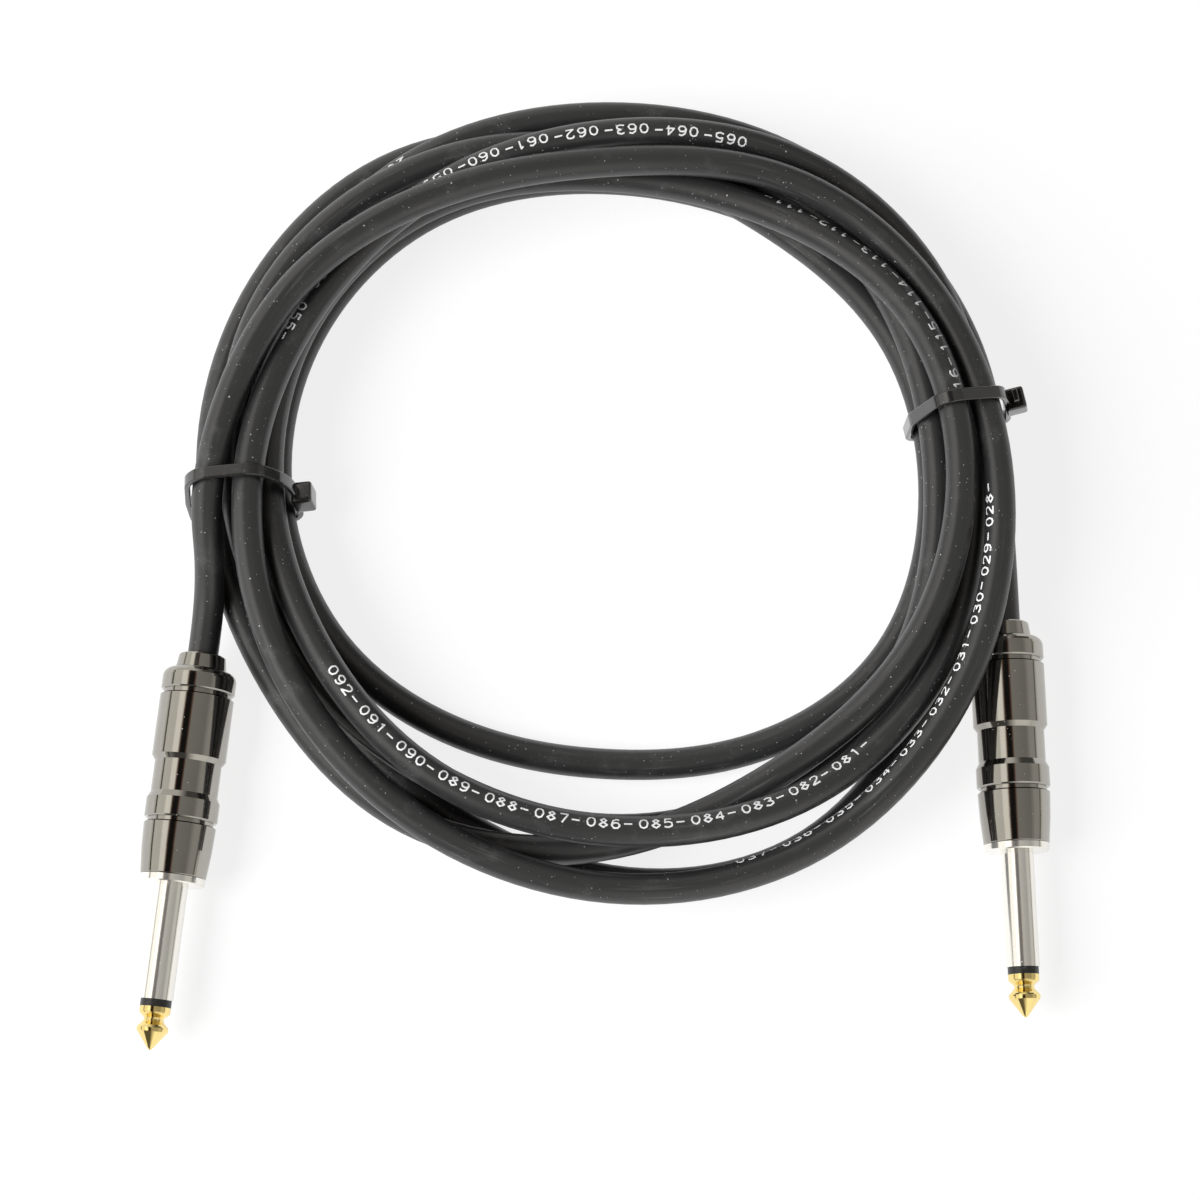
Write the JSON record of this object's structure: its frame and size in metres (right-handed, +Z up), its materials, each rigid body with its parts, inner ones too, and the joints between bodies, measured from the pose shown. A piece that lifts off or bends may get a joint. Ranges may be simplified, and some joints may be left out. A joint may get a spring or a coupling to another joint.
{
  "type": "instrument cable",
  "caption": "Coiled instrument cable with a straight 6.35 mm phone plug at each end and cable ties round the bundle.",
  "frame": {"origin": "on the surface that the cable lies on, at the middle of the box round the plugs and ties", "axes": "+Z up, +X from the left plug to the right plug, +Y away from the plugs towards the back of the coil"},
  "size_m": [0.1761, 0.1912, 0.0273],
  "materials": {
    "jacket": "satin",
    "tie_nylon": "satin",
    "gunmetal": "gloss",
    "nickel": "gloss",
    "black_ring": "gloss",
    "gold_tip": "gloss",
    "nickel_rod": "satin",
    "pale_insulator": "satin",
    "brown_washer": "matte",
    "tinned_lug": "satin",
    "liner_plastic": "satin",
    "chuck_plastic": "satin",
    "core_insulation": "satin",
    "solder_metal": "satin",
    "copper": "satin"
  },
  "bodies": {
    "cord": {"cable": "jacket", "left_tie": "tie_nylon", "right_tie": "tie_nylon", "left_nose": "gunmetal", "left_sleeve": "nickel", "left_insulating_ring": "black_ring", "left_tip": "gold_tip", "left_centre_rod": "nickel_rod", "left_rod_insulator": "pale_insulator", "left_rear_washer": "brown_washer", "left_earth_lug": "tinned_lug", "left_tip_lug": "tinned_lug", "left_chuck": "chuck_plastic", "left_inner_core": "core_insulation", "left_solder": "solder_metal", "left_shield_tail": "copper", "right_nose": "gunmetal", "right_sleeve": "nickel", "right_insulating_ring": "black_ring", "right_tip": "gold_tip", "right_centre_rod": "nickel_rod", "right_rod_insulator": "pale_insulator", "right_rear_washer": "brown_washer", "right_earth_lug": "tinned_lug", "right_tip_lug": "tinned_lug", "right_chuck": "chuck_plastic", "right_inner_core": "core_insulation", "right_solder": "solder_metal", "right_shield_tail": "copper"},
    "left_liner_body": {"left_liner": "liner_plastic"},
    "left_shell_body": {"left_shell": "gunmetal"},
    "right_liner_body": {"right_liner": "liner_plastic"},
    "right_shell_body": {"right_shell": "gunmetal"}
  },
  "joints": [
    {"name": "left_shell_slide", "type": "slide", "parent": "cord", "child": "left_liner_body", "axis": [0.0993, 0.9951, 0], "range_m": [0, 0.006]},
    {"name": "left_shell_turn", "type": "hinge", "parent": "left_liner_body", "child": "left_shell_body", "pos_m": [-0.07939, -0.0082, 0.0072], "axis": [0.0993, 0.9951, 0], "range_deg": [0, 2880]},
    {"name": "right_shell_slide", "type": "slide", "parent": "cord", "child": "right_liner_body", "axis": [-0.0192, 0.9998, 0], "range_m": [0, 0.006]},
    {"name": "right_shell_turn", "type": "hinge", "parent": "right_liner_body", "child": "right_shell_body", "pos_m": [0.08068, -0.0018, 0.0072], "axis": [-0.0192, 0.9998, 0], "range_deg": [0, 2880]}
  ],
  "couplings": [
    {"joint": "left_shell_slide", "follows": "left_shell_turn", "m_per_rad": 0.00011936},
    {"joint": "right_shell_slide", "follows": "right_shell_turn", "m_per_rad": 0.00011936}
  ]
}
